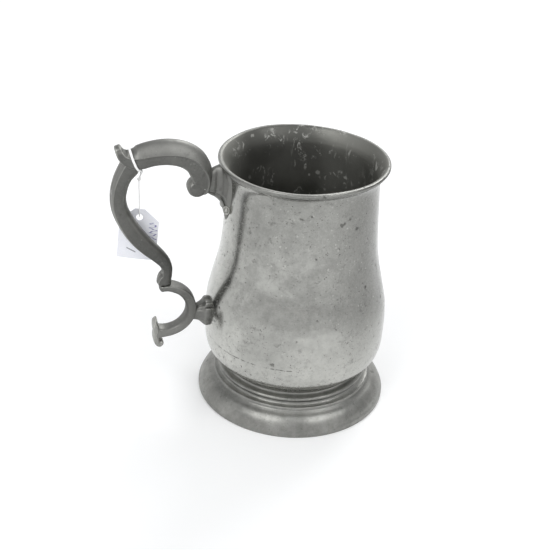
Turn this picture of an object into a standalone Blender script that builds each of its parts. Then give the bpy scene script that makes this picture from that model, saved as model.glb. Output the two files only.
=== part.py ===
"""A lidless pewter quart tankard.

Two turned body castings meet at a seam low on the belly and stand on a hollow moulded foot, with
a flat disc soldered in as the floor. The handle is built up from a domed upper scroll, a round
grip scroll and a strap-like tail scroll, held off the body by two cast struts. A card tag hangs
on a thread that is wound round the upper scroll.

Frame: +Z up, the foot rests on z = 0, the handle runs out along -X in the plane y = 0, and the
origin is under the middle of the tankard's box, so the body's axis stands a little towards +X.
Outlines are in millimetres from the body's axis: "out" is the distance from it towards the
handle, and z is the height above the table.
"""

import math

import bmesh
import bpy
from mathutils import Matrix, Vector

MM = 0.001
GAP = 0.3  # clearance between two pieces that are soldered or tied together

# Driving dimensions
RIM_Z = 165.0
SEAM_Z = 48.0
FLOOR_Z = 20.9  # underside of the floor disc
FLOOR_THICKNESS = 2.0
FLOOR_RADIUS = 41.6
WALL = 2.05
BULB_FOOT_WALL = 2.5  # the lower casting is thicker where it stands on the foot
TURNED_STEPS = 48
SCROLL_STEPS = 2  # sections per station of a scroll or strut
THREAD_RADIUS = 0.35
TERMINAL_END = 1.3  # how far the tail's fishtail is rounded past its end stations
SCROLL_END = 1.8
STRUT_SQUARENESS = 2.2

CARD_WIDTH = 24.0
CARD_HEIGHT = 35.0
CARD_THICKNESS = 0.5
CARD_CLIP_WIDTH = 9.0
CARD_CLIP_HEIGHT = 8.0
CARD_HOLE_DROP = 5.6  # from the card's top edge to the middle of its hole
CARD_HOLE_RADIUS = 2.1
CARD_HOLE_STEPS = 24
CARD_YAW = math.radians(12)  # its outer side stands further behind the grip
CARD_ROLL = math.radians(5)  # its foot has swung out, away from the body
CARD_HOLE = (-99.4, 8.2, 127.9)

# Finishes: colour, roughness, metallic
PEWTER = ((0.36, 0.36, 0.34), 0.38, 1.0)
OLD_PEWTER = ((0.22, 0.22, 0.21), 0.42, 1.0)
CARD_STOCK = ((0.86, 0.86, 0.88), 0.8, 0.0)
THREAD_WHITE = ((0.90, 0.90, 0.88), 0.9, 0.0)
SHARP_ANGLE = math.radians(40)  # edges that turn further than this stay crisp

# Outer face of the body, from the lip down to the foot, as (radius, z)
DRUM_OUTER = [
    (51.0, 165.0), (52.0, 164.8), (52.4, 164.0), (52.2, 162.9), (51.0, 161.9), (49.2, 160.5),
    (47.8, 158.2), (46.9, 154.5), (46.8, 149.0), (47.5, 138.0), (48.1, 124.0), (49.3, 108.0),
    (51.5, 95.0), (54.7, 82.0), (57.2, 71.0), (58.0, 61.0), (58.0, 53.0), (57.9, 48.15),
]
# Inner face of the lip, from its top edge to where the plain wall begins
LIP_INNER = [(49.7, 164.5), (48.4, 163.0), (46.8, 160.5), (45.5, 157.5)]
LIP_POINTS = 7  # the points of the outer face that belong to the lip, above the plain wall
BULB_OUTER = [
    (57.9, 47.85), (57.8, 43.0), (57.2, 38.8), (56.1, 35.2), (54.3, 32.2), (51.3, 29.5), (48.0, 27.2),
    (45.6, 24.9), (44.7, 22.9),
]
FOOT_OUTER = [
    (44.7, 22.6), (45.1, 21.8), (46.2, 21.2), (47.7, 20.8), (48.5, 20.1), (48.6, 19.3), (48.1, 18.5),
    (47.8, 17.6), (48.3, 16.6), (49.6, 15.9), (50.9, 15.5), (51.2, 14.7), (51.5, 13.8),
    (53.2, 12.6), (55.4, 11.4), (57.8, 9.4), (59.7, 6.9), (60.9, 4.5), (61.5, 3.4), (61.5, 0.5), (61.1, 0.0),
]
FOOT_INNER = [
    (58.6, 0.0), (58.5, 3.0), (56.8, 6.4), (54.0, 9.0), (50.2, 11.2), (47.0, 13.4), (44.8, 16.0),
    (42.6, 18.2), (39.2, 18.6), (39.2, 20.6), (41.95, 20.6), (41.95, 22.6),
]

# Stations along each scroll: out, z, half width, half thickness, crown height, squareness of back
UPPER_SCROLL = [
    (66.6, 145.9, 3.4, 2.9, 0.7, 3), (66.5, 146.9, 3.9, 4.4, 0.9, 3.2), (66.1, 148.5, 4.6, 5.5, 1.1, 3.5),
    (65.4, 150.6, 5.3, 5.8, 1.4, 4), (64.4, 153.1, 6.0, 5.1, 1.9, 4.5), (64.4, 156.0, 6.6, 5.0, 2.8, 5),
    (65.3, 158.5, 7.0, 5.1, 3.6, 5), (67.3, 162.5, 7.5, 4.8, 4.6, 5), (70.6, 166.5, 7.7, 4.35, 5.7, 5),
    (76.6, 169.7, 7.75, 3.9, 6.5, 5), (84.5, 171.1, 7.75, 3.5, 6.9, 5), (92.4, 170.9, 7.7, 3.5, 6.3, 5),
    (99.5, 169.7, 7.6, 4.4, 4.7, 5), (103.5, 169.3, 7.3, 4.1, 3.5, 5), (107.4, 170.2, 6.8, 3.2, 2.3, 4.5),
    (110.4, 172.4, 6.2, 2.5, 1.4, 3.5), (112.1, 175.0, 5.4, 2.1, 1.0, 3), (112.7, 177.2, 4.8, 2.0, 0.9, 2.6),
]
GRIP_SCROLL = [
    (103.2, 168.6, 6.2, 4.6, 1.2, 2.6), (105.5, 164.4, 6.3, 4.9, 2.0, 2.6),
    (108.9, 159.4, 6.3, 4.2, 1.8, 2.6), (111.3, 153.2, 6.3, 4.0, 1.8, 2.6),
    (112.4, 146.0, 6.3, 3.9, 1.7, 2.6), (111.3, 138.1, 6.3, 4.1, 1.7, 2.6),
    (107.5, 129.2, 6.3, 4.4, 1.7, 2.6), (102.2, 120.6, 6.2, 4.6, 1.7, 2.6),
    (96.3, 113.3, 6.0, 4.2, 1.6, 2.6), (90.2, 107.0, 5.6, 3.7, 1.4, 2.6),
    (85.8, 101.6, 5.1, 3.3, 1.2, 2.6), (83.7, 96.6, 4.6, 2.9, 1.0, 2.6),
    (83.8, 92.0, 4.4, 2.9, 0.8, 2.8), (85.0, 88.8, 4.3, 3.8, 0.8, 3), (85.6, 85.0, 4.2, 4.1, 0.8, 3),
]
TAIL_SCROLL = [
    (90.8, 51.4, 4.6, 3.6, 0.3, 3.5), (88.6, 51.2, 4.9, 2.9, 0.5, 4), (85.4, 51.2, 4.9, 2.5, 0.5, 4),
    (81.2, 51.9, 4.9, 2.4, 0.5, 4), (76.2, 54.2, 4.9, 2.4, 0.6, 4), (72.0, 58.4, 4.9, 2.6, 0.6, 4),
    (69.7, 63.2, 4.9, 2.8, 0.6, 4), (69.2, 68.6, 4.9, 2.9, 0.6, 4), (71.0, 74.2, 4.8, 2.8, 0.6, 4),
    (74.8, 78.8, 4.8, 2.5, 0.5, 4), (79.4, 81.5, 4.8, 2.3, 0.5, 4), (83.6, 82.6, 4.7, 2.2, 0.4, 3.5),
    (87.2, 82.3, 4.4, 2.3, 0.3, 3),
]
TAIL_TERMINAL = [
    (91.0, 59.2, 3.2, 0.6, 0.1, 3), (91.3, 56.9, 4.6, 1.4, 0.3, 3.5), (90.9, 53.6, 4.9, 1.9, 0.4, 4),
    (90.5, 50.2, 4.5, 1.8, 0.4, 4), (90.6, 47.2, 4.7, 1.9, 0.5, 3.5), (90.4, 44.6, 4.7, 1.9, 0.5, 3.5),
    (89.3, 42.9, 4.5, 1.8, 0.4, 3), (87.9, 43.5, 4.2, 1.5, 0.2, 3),
]

# Sections of the struts, from inside the body's wall to inside the scroll:
# out, half width, height above and below the middle, lean of the section along the handle
UPPER_STRUT_Z = 152.0
UPPER_STRUT = [
    (45.5, 7.4, 11.0, 22.5, 0), (48.3, 7.2, 11.2, 22.0, 0), (49.6, 6.4, 11.6, 19.2, 0),
    (51.2, 5.7, 11.9, 13.0, 0), (53.0, 5.2, 11.8, 9.3, 0), (56.0, 5.2, 10.2, 7.0, 0),
    (59.0, 5.4, 8.6, 5.8, 0), (62.5, 5.4, 7.6, 4.0, 0),
]
LOWER_STRUT_Z = 62.8
LOWER_STRUT = [
    (55.5, 6.4, 8.4, 8.4, 0), (58.2, 6.6, 8.6, 8.6, 0), (60.2, 7.0, 9.6, 9.3, 0),
    (61.5, 7.0, 9.2, 9.7, 0), (63.2, 6.1, 7.0, 7.4, 0), (64.9, 5.2, 5.4, 5.6, 0),
    (66.6, 4.6, 5.0, 5.0, -0.2), (69.7, 4.2, 4.3, 4.3, -0.36),
]

# The thread: where its two turns cross the bar, then its hanging run down to the card
LOOP_TOP_OUT = 106.2
LOOP_FOOT_OUT = 99.0
LOOP_PITCH = 0.7
LOOP_TURNS = 2
LOOP_HALF_WIDTH = 8.5
LOOP_SQUARENESS = 3.2
LOOP_BEND = 0.5  # below 1, a turn runs down the bar's side before it goes in under it
LOOP_POINTS = 22  # points in each turn
LOOP_TOP_Z = 177.2
LOOP_FOOT_Z = 164.2
LOOP_LEAD = (0.3, 0.6, 2.4)  # where a turn leaves its underside crossing for the knot
KNOT_SPREAD = 0.7  # from the knot's middle to each end of the loop
KNOT = (-100.6, 0.0, 157.0)
THREAD_RUN = [
    (-100.6, 0.0, 156.2), (-100.5, 1.2, 153.2), (-100.2, 3.0, 147.8), (-99.9, 5.0, 142.0),
    (-99.7, 6.8, 136.9), (-99.6, 7.3, 133.4), (-99.5, 7.4, 130.4), (-99.4, 8.1, 128.5),
    (-99.4, 9.1, 129.4), (-99.5, 9.2, 132.6),
]


def clear_scene():
    for obj in list(bpy.data.objects):
        bpy.data.objects.remove(obj, do_unlink=True)


def new_collection(name):
    collection = bpy.data.collections.new(name)
    bpy.context.scene.collection.children.link(collection)
    return collection


def new_material(name, colour, roughness, metallic):
    material = bpy.data.materials.new(name)
    material.use_nodes = True
    shader = material.node_tree.nodes["Principled BSDF"]
    shader.inputs["Base Color"].default_value = (*colour, 1.0)
    shader.inputs["Roughness"].default_value = roughness
    shader.inputs["Metallic"].default_value = metallic
    return material


def smooth(points, steps=SCROLL_STEPS):
    """A Catmull-Rom curve through the points, with each span cut into steps."""
    ends = [points[0]] + list(points) + [points[-1]]
    curve = []
    for a, b, c, d in zip(ends, ends[1:], ends[2:], ends[3:]):
        for i in range(steps):
            t = i / steps
            curve.append(tuple(
                0.5 * (2 * q + (r - p) * t + (2 * p - 5 * q + 4 * r - s) * t**2
                       + (3 * q - p - 3 * r + s) * t**3)
                for p, q, r, s in zip(a, b, c, d)
            ))
    return curve + [tuple(points[-1])]


def inner_face(outer, wall):
    """The profile a wall's thickness inside the outer one, in the same order."""
    inside = []
    for i, (radius, z) in enumerate(outer):
        before = outer[max(i - 1, 0)]
        after = outer[min(i + 1, len(outer) - 1)]
        along = Vector((after[0] - before[0], after[1] - before[1])).normalized()
        inside.append((radius + along.y * wall, z - along.x * wall))
    return inside


def mesh_object(name, bm, material, collection):
    mesh = bpy.data.meshes.new(name)
    bm.to_mesh(mesh)
    bm.free()
    mesh.materials.append(material)
    if mesh.polygons:
        mesh.shade_smooth()
        mesh.set_sharp_from_angle(angle=SHARP_ANGLE)
    obj = bpy.data.objects.new(name, mesh)
    collection.objects.link(obj)
    return obj


def turned(name, profile, material, collection):
    """A closed profile, running down its outer side first, turned about the body's axis."""
    bm = bmesh.new()
    corners = [bm.verts.new((radius * MM, 0.0, z * MM)) for radius, z in profile]
    for i, corner in enumerate(corners):
        bm.edges.new((corner, corners[(i + 1) % len(corners)]))
    obj = mesh_object(name, bm, material, collection)
    screw = obj.modifiers.new("turn", "SCREW")
    screw.axis = "Z"
    screw.steps = TURNED_STEPS
    screw.render_steps = TURNED_STEPS
    screw.use_merge_vertices = True
    screw.merge_threshold = 0.00001
    screw.use_smooth_shade = True
    return obj


def superellipse(angle, across, along, squareness):
    c = math.cos(angle)
    s = math.sin(angle)
    power = 2 / squareness
    return (math.copysign(abs(c) ** power, c) * across, math.copysign(abs(s) ** power, s) * along)


CROWN_POINTS = 8
BACK_POINTS = 12
END_ANGLES = (0.5, 1.0, 1.3)  # where the rings of a scroll's rounded end stand on its quarter circle


def scroll_section(half_width, half_thickness, crown, squareness):
    """Points (across, towards the crown): a domed crown with a sharp arris over a squarer back."""
    points = []
    for i in range(CROWN_POINTS + 1):
        angle = math.pi * i / CROWN_POINTS
        points.append((math.cos(angle) * half_width, half_thickness + math.sin(angle)**2 * crown))
    for i in range(1, BACK_POINTS):
        angle = math.pi * (1 + i / BACK_POINTS)
        y, n = superellipse(angle, half_width, 2 * half_thickness, squareness)
        points.append((y, half_thickness + n))
    return points


def strut_section(half_width, up, down):
    points = []
    for i in range(CROWN_POINTS + BACK_POINTS):
        angle = 2 * math.pi * i / (CROWN_POINTS + BACK_POINTS)
        rise = up if math.sin(angle) >= 0 else down
        points.append(superellipse(angle, half_width, rise, STRUT_SQUARENESS))
    return points


def skin(bm, rings):
    """Quads between neighbouring rings of equal length, and a face on each end."""
    loops = [[bm.verts.new(Vector(p) * MM) for p in ring] for ring in rings]
    count = len(loops[0])
    for low, high in zip(loops, loops[1:]):
        for i in range(count):
            j = (i + 1) % count
            bm.faces.new((low[i], low[j], high[j], high[i]))
    bm.faces.new(loops[0])
    bm.faces.new(loops[-1])
    bmesh.ops.recalc_face_normals(bm, faces=bm.faces)


def scroll_rings(stations, grow, end_radius):
    """Sections along a scroll in the plane y = 0, each square to the path, with rounded ends."""
    path = smooth(stations)
    rings = []
    for i, (out, z, half_width, half_thickness, crown, squareness) in enumerate(path):
        before = path[max(i - 1, 0)]
        after = path[min(i + 1, len(path) - 1)]
        along = Vector((after[0] - before[0], after[1] - before[1])).normalized()
        face = Vector((-along.y, along.x))
        section = scroll_section(half_width + grow, half_thickness + grow, crown, squareness)
        ends = [(0.0, 1.0)]
        if i == 0:
            ends = [(-math.sin(a), math.cos(a)) for a in reversed(END_ANGLES)] + ends
        if i == len(path) - 1:
            ends = ends + [(math.sin(a), math.cos(a)) for a in END_ANGLES]
        for push, shrink in ends:
            shift = along * push * (end_radius + grow)
            rings.append([
                (-(out + shift.x + face.x * n * shrink), y * shrink, z + shift.y + face.y * n * shrink)
                for y, n in section
            ])
    return rings


def scroll(name, stations, material, collection, grow=0.0, end_radius=SCROLL_END):
    bm = bmesh.new()
    skin(bm, scroll_rings(stations, grow, end_radius))
    return mesh_object(name, bm, material, collection)


def strut(name, sections, middle_z, material, collection):
    rings = []
    for out, half_width, up, down, lean in smooth(sections):
        rings.append([
            (-(out + lean * rise), y, middle_z + rise)
            for y, rise in strut_section(half_width, up, down)
        ])
    bm = bmesh.new()
    skin(bm, rings)
    return mesh_object(name, bm, material, collection)


def combine(obj, other, operation):
    modifier = obj.modifiers.new(other.name, "BOOLEAN")
    modifier.operation = operation
    modifier.solver = "EXACT"
    modifier.object = other


def as_cutter(obj):
    obj.hide_render = True
    obj.display_type = "WIRE"
    return obj


def thread(name, points, material, collection):
    curve = bpy.data.curves.new(name, "CURVE")
    curve.dimensions = "3D"
    curve.bevel_depth = THREAD_RADIUS * MM
    curve.bevel_resolution = 2
    curve.use_fill_caps = True
    curve.materials.append(material)
    spline = curve.splines.new("POLY")
    spline.points.add(len(points) - 1)
    for point, place in zip(spline.points, points):
        point.co = (*(Vector(place) * MM), 1.0)
    obj = bpy.data.objects.new(name, curve)
    collection.objects.link(obj)
    return obj


def loop_points():
    """Two turns round the bar, from the knot on the near side back to the knot on the far side."""
    count = LOOP_POINTS * LOOP_TURNS
    turns = []
    for i in range(count + 1):
        angle = 2 * math.pi * LOOP_TURNS * i / count
        y, rise = superellipse(-math.pi / 2 - angle, LOOP_HALF_WIDTH, 1.0, LOOP_SQUARENESS)
        height = (rise + 1) / 2
        drift = LOOP_PITCH * (0.5 - i / count) * LOOP_TURNS
        out = LOOP_FOOT_OUT + (LOOP_TOP_OUT - LOOP_FOOT_OUT) * height**LOOP_BEND + drift
        turns.append((-out, y, LOOP_FOOT_Z + (LOOP_TOP_Z - LOOP_FOOT_Z) * height))
    first = turns[0]
    last = turns[-1]
    aside, near, drop = LOOP_LEAD
    lead_in = [(KNOT[0] + KNOT_SPREAD, 0.0, KNOT[2]), (first[0] + aside, near, first[2] - drop)]
    lead_out = [(last[0] - aside, -near, last[2] - drop), (KNOT[0] - KNOT_SPREAD, 0.0, KNOT[2])]
    return lead_in + turns[1:-1] + lead_out


def card(material, collection, cutters):
    """A card with two clipped top corners and a punched hole, its hole's middle at the origin."""
    half = CARD_WIDTH / 2
    top = CARD_HOLE_DROP
    foot = top - CARD_HEIGHT
    outline = [
        (-half, foot), (half, foot), (half, top - CARD_CLIP_HEIGHT), (half - CARD_CLIP_WIDTH, top),
        (CARD_CLIP_WIDTH - half, top), (-half, top - CARD_CLIP_HEIGHT),
    ]
    bm = bmesh.new()
    front = bm.faces.new([bm.verts.new((x * MM, -CARD_THICKNESS / 2 * MM, z * MM)) for x, z in outline])
    pulled = bmesh.ops.extrude_face_region(bm, geom=[front])
    corners = [v for v in pulled["geom"] if isinstance(v, bmesh.types.BMVert)]
    bmesh.ops.translate(bm, verts=corners, vec=(0.0, CARD_THICKNESS * MM, 0.0))
    bmesh.ops.recalc_face_normals(bm, faces=bm.faces)
    obj = mesh_object("tag_card", bm, material, collection)

    punch = bmesh.new()
    bmesh.ops.create_cone(
        punch, cap_ends=True, segments=CARD_HOLE_STEPS, radius1=CARD_HOLE_RADIUS * MM,
        radius2=CARD_HOLE_RADIUS * MM, depth=4 * CARD_THICKNESS * MM,
        matrix=Matrix.Rotation(math.pi / 2, 4, "X"),
    )
    hole = as_cutter(mesh_object("card_punch", punch, material, cutters))
    combine(obj, hole, "DIFFERENCE")
    for piece in (obj, hole):
        piece.location = Vector(CARD_HOLE) * MM
        piece.rotation_euler = (0.0, CARD_ROLL, -CARD_YAW)
    return obj


def build():
    clear_scene()
    parts = new_collection("pewter_tankard")
    cutters = new_collection("cutters")
    pewter = new_material("pewter", *PEWTER)
    old_pewter = new_material("old_pewter", *OLD_PEWTER)
    card_stock = new_material("card_stock", *CARD_STOCK)
    thread_white = new_material("thread_white", *THREAD_WHITE)

    drum_inner = inner_face(DRUM_OUTER[LIP_POINTS:-1], WALL)
    drum_inner.append((DRUM_OUTER[-1][0] - WALL, SEAM_Z + GAP / 2))
    turned("upper_body", DRUM_OUTER + drum_inner[::-1] + LIP_INNER[::-1], pewter, parts)
    bulb_inner = [(BULB_OUTER[0][0] - WALL, SEAM_Z - GAP / 2)] + inner_face(BULB_OUTER[1:-1], WALL)
    bulb_inner.append((BULB_OUTER[-1][0] - BULB_FOOT_WALL, BULB_OUTER[-1][1]))
    turned("lower_body", BULB_OUTER + bulb_inner[::-1], pewter, parts)
    disc_top = FLOOR_Z + FLOOR_THICKNESS
    disc = [(0.0, disc_top), (FLOOR_RADIUS, disc_top), (FLOOR_RADIUS, FLOOR_Z), (0.0, FLOOR_Z)]
    turned("base_disc", disc, pewter, parts)
    turned("foot_ring", FOOT_OUTER + FOOT_INNER, pewter, parts)

    upper = scroll("upper_scroll", UPPER_SCROLL, old_pewter, parts)
    grip = scroll("grip_scroll", GRIP_SCROLL, old_pewter, parts)
    tail = scroll("tail_scroll", TAIL_SCROLL, old_pewter, parts)
    terminal = scroll("terminal_shape", TAIL_TERMINAL, old_pewter, cutters, end_radius=TERMINAL_END)
    combine(tail, as_cutter(terminal), "UNION")

    upper_room = as_cutter(scroll("upper_scroll_room", UPPER_SCROLL, old_pewter, cutters, grow=GAP))
    tail_room = as_cutter(scroll("tail_scroll_room", TAIL_SCROLL, old_pewter, cutters, grow=GAP))
    body_outline = [(radius + GAP, z) for radius, z in DRUM_OUTER + BULB_OUTER]
    body_solid = [(0.0, RIM_Z)] + body_outline + [(0.0, BULB_OUTER[-1][1])]
    body_room = as_cutter(turned("body_room", body_solid, pewter, cutters))

    upper_strut = strut("upper_strut", UPPER_STRUT, UPPER_STRUT_Z, old_pewter, parts)
    lower_strut = strut("lower_strut", LOWER_STRUT, LOWER_STRUT_Z, old_pewter, parts)
    combine(grip, upper_room, "DIFFERENCE")
    combine(grip, tail_room, "DIFFERENCE")
    combine(upper_strut, upper_room, "DIFFERENCE")
    combine(upper_strut, body_room, "DIFFERENCE")
    combine(lower_strut, tail_room, "DIFFERENCE")
    combine(lower_strut, body_room, "DIFFERENCE")

    thread("tag_loop", loop_points(), thread_white, parts)
    thread("tag_string", smooth(THREAD_RUN), thread_white, parts)
    card(card_stock, parts, cutters)

    # The origin is under the middle of the tankard's own box, from the grip's crown to the foot
    bpy.context.view_layer.update()
    seen = grip.evaluated_get(bpy.context.evaluated_depsgraph_get())
    reach = -min(corner[0] for corner in seen.bound_box)
    foot_radius = max(radius for radius, z in FOOT_OUTER) * MM
    axis = bpy.data.objects.new("body_axis", None)
    parts.objects.link(axis)
    axis.location.x = (reach - foot_radius) / 2
    for obj in list(parts.objects) + list(cutters.objects):
        if obj is not axis:
            obj.parent = axis


build()
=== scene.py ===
"""The finished look of the pewter quart tankard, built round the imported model.

Every outline is in millimetres from the body's axis: "out" is the distance from it along -X, towards
the handle, and z is the height above the table.
"""

import math

import bmesh
import bpy
from mathutils import Euler, Matrix, Vector, noise


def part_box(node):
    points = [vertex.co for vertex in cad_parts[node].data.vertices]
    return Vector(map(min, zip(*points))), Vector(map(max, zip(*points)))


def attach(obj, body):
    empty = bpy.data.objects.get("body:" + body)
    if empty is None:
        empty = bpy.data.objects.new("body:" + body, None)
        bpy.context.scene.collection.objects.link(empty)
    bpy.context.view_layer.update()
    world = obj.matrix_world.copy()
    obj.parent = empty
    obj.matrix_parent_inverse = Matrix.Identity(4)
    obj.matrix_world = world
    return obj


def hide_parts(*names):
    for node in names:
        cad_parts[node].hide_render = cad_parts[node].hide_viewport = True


MM = 0.001

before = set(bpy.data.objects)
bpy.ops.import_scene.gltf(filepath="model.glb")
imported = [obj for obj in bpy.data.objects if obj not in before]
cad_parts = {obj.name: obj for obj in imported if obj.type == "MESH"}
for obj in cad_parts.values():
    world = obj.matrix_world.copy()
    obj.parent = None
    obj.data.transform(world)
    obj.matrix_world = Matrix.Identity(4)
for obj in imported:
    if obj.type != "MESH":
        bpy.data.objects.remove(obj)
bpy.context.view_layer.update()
body_low, body_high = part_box("foot_ring")
AXIS_X = (body_low.x + body_high.x) / 2
SEAM_Z = (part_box("upper_body")[0].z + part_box("lower_body")[1].z) / 2 / MM
DISC_TOP_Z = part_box("base_disc")[1].z / MM

BODY = "tankard"
TAG = "tag"
LATHE_STEPS = 240  # points round a turned piece
SCROLL_STEPS = 7  # cuts between two stations of a scroll
SCROLL_WEAR = 0.5
STRUT_STEPS = 6
STRUT_POINTS = 96  # points round a strut
STRUT_WEAR = 0.8

# ---------------------------------------------------------------- outlines

DRUM_OUTER = [
    (50.6, 165.0), (51.7, 164.95), (52.3, 164.4), (52.35, 163.6), (51.9, 163.0), (51.5, 162.9),
    (51.55, 162.4), (51.2, 161.9), (50.3, 161.2), (49.2, 160.4), (47.9, 158.2), (46.95, 154.5),
    (46.8, 149.0), (47.5, 138.0), (48.1, 124.0), (49.3, 108.0), (51.5, 95.0), (54.7, 82.0),
    (57.2, 71.0), (58.0, 61.0), (58.0, 54.0), (57.9, 48.0),
]
DRUM_INNER = [
    (55.85, 48.0), (55.9, 60.0), (55.1, 71.0), (52.7, 81.6), (49.5, 94.6), (47.3, 107.7),
    (46.1, 123.8), (45.4, 138.0), (44.8, 149.0), (45.0, 154.6), (45.8, 158.0), (46.9, 160.6),
    (48.4, 163.2), (49.5, 164.6),
]
LIP_POINTS = 9  # the first of the drum's outer points, which shape its lip
BOWL_OUTER = [
    (57.9, 48.0), (57.8, 43.0), (57.2, 38.8), (56.1, 35.2), (54.3, 32.2), (51.3, 29.5), (48.0, 27.2),
    (45.6, 24.9), (44.7, 22.7),
]
BOWL_INNER = [
    (42.1, 22.9), (44.0, 26.2), (47.0, 29.0), (50.4, 31.7), (53.0, 34.6), (54.9, 38.6), (55.8, 43.0),
    (55.85, 48.0),
]
FOOT_OUTER = [
    (44.7, 22.8), (45.1, 21.8), (46.2, 21.2), (47.7, 20.8), (48.5, 20.1), (48.6, 19.3), (48.1, 18.5),
    (47.8, 17.6), (48.3, 16.6), (49.6, 15.9), (50.9, 15.5), (51.2, 14.7), (51.5, 13.8),
    (53.2, 12.6), (55.4, 11.4), (57.7, 9.4), (59.6, 6.9), (60.8, 4.5), (61.4, 3.3),
    (61.5, 2.2), (61.5, 0.6), (61.1, 0.0),
]
FOOT_INNER = [
    (58.6, 0.0), (58.5, 3.0), (56.8, 6.4), (54.0, 9.0), (50.2, 11.2), (47.0, 13.4), (44.8, 16.0),
    (42.6, 18.2), (39.2, 18.6), (39.2, 20.6), (41.9, 20.7), (41.9, 22.7),
]

# Stations along each scroll: out, z, half width, half thickness, crown height, squareness of back
BAR = [
    (66.6, 145.9, 3.4, 2.9, 0.7, 3), (66.5, 146.9, 3.9, 4.4, 0.9, 3.2), (66.1, 148.5, 4.6, 5.5, 1.1, 3.5),
    (65.4, 150.6, 5.3, 5.8, 1.4, 4), (64.4, 153.1, 6.0, 5.1, 1.9, 4.5), (64.4, 156.0, 6.6, 5.0, 2.8, 5),
    (65.3, 158.5, 7.0, 5.1, 3.6, 5), (67.3, 162.5, 7.5, 4.8, 4.6, 5), (70.6, 166.5, 7.7, 4.35, 5.7, 5),
    (76.6, 169.7, 7.75, 3.9, 6.5, 5), (84.5, 171.1, 7.75, 3.5, 6.9, 5), (92.4, 170.9, 7.7, 3.5, 6.3, 5),
    (99.5, 169.6, 7.6, 3.9, 5.2, 5), (103.5, 169.3, 7.3, 3.8, 3.9, 5), (107.4, 170.2, 6.8, 3.2, 2.3, 4.5),
    (110.4, 172.4, 6.2, 2.5, 1.4, 3.5), (112.1, 175.0, 5.3, 2.1, 1.0, 3),
    (112.8, 177.1, 4.1, 1.8, 0.8, 2.4),
]
GRIP = [
    (103.2, 168.6, 6.2, 4.6, 1.2, 2.6), (105.5, 164.4, 6.3, 4.9, 2.0, 2.6),
    (108.9, 159.4, 6.3, 4.2, 1.8, 2.6), (111.3, 153.2, 6.3, 4.0, 1.8, 2.6),
    (112.4, 146.0, 6.3, 3.9, 1.7, 2.6), (111.3, 138.1, 6.3, 4.1, 1.7, 2.6),
    (107.5, 129.2, 6.3, 4.4, 1.7, 2.6), (102.2, 120.6, 6.2, 4.6, 1.7, 2.6),
    (96.3, 113.3, 6.0, 4.2, 1.6, 2.6), (90.2, 107.0, 5.6, 3.7, 1.4, 2.6),
    (85.8, 101.6, 5.1, 3.3, 1.2, 2.6), (83.7, 96.6, 4.6, 2.9, 1.0, 2.6),
    (83.8, 92.0, 4.4, 2.9, 0.8, 2.8), (85.0, 88.8, 4.3, 3.8, 0.8, 3), (85.6, 85.8, 4.2, 4.1, 0.8, 3),
]
TAIL = [
    (90.8, 51.4, 4.6, 3.6, 0.3, 3.5), (88.6, 51.2, 4.9, 2.9, 0.5, 4), (85.4, 51.2, 4.9, 2.5, 0.5, 4),
    (81.2, 51.9, 4.9, 2.4, 0.5, 4), (76.2, 54.2, 4.9, 2.4, 0.6, 4), (72.0, 58.4, 4.9, 2.6, 0.6, 4),
    (69.7, 63.2, 4.9, 2.8, 0.6, 4), (69.2, 68.6, 4.9, 2.9, 0.6, 4), (71.0, 74.2, 4.8, 2.8, 0.6, 4),
    (74.8, 78.8, 4.8, 2.5, 0.5, 4), (79.4, 81.5, 4.8, 2.3, 0.5, 4), (83.6, 82.6, 4.7, 2.2, 0.4, 3.5),
    (87.2, 82.3, 4.4, 2.3, 0.3, 3),
]
FISHTAIL = [
    (91.0, 59.2, 3.2, 0.6, 0.1, 3), (91.3, 56.9, 4.6, 1.4, 0.3, 3.5), (90.9, 53.6, 4.9, 1.9, 0.4, 4),
    (90.5, 50.2, 4.5, 1.8, 0.4, 4), (90.6, 47.2, 4.7, 1.9, 0.5, 3.5), (90.4, 44.6, 4.7, 1.9, 0.5, 3.5),
    (89.3, 42.9, 4.5, 1.8, 0.4, 3), (87.9, 43.5, 4.2, 1.5, 0.2, 3),
]

# Sections of the struts: out, half width, height above and below the middle, lean
UPPER_STRUT_Z = 152.0
UPPER_STRUT = [
    (46.0, 5.0, 4.0, 22.0, 0), (47.5, 5.8, 7.0, 25.0, 0), (48.3, 6.0, 8.0, 23.9, 0),
    (49.5, 5.7, 9.7, 20.6, 0), (50.6, 5.3, 10.8, 16.2, 0), (51.8, 5.0, 11.4, 12.8, 0),
    (54.8, 4.6, 10.6, 9.5, 0), (58.1, 4.7, 8.8, 7.3, 0), (62.5, 5.2, 7.6, 4.0, 0),
]
LOWER_STRUT_Z = 62.8
LOWER_STRUT = [
    (55.5, 7.4, 9.0, 9.0, 0), (58.4, 7.7, 9.5, 9.5, 0), (60.0, 7.5, 9.3, 9.6, 0),
    (61.4, 6.6, 7.6, 8.8, 0), (62.8, 5.9, 6.4, 7.2, 0), (64.6, 5.2, 5.5, 5.7, 0),
    (66.6, 4.6, 5.0, 5.0, -0.2), (69.7, 4.2, 4.3, 4.3, -0.36),
]
STRUT_SQUARENESS = 2.4

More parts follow.
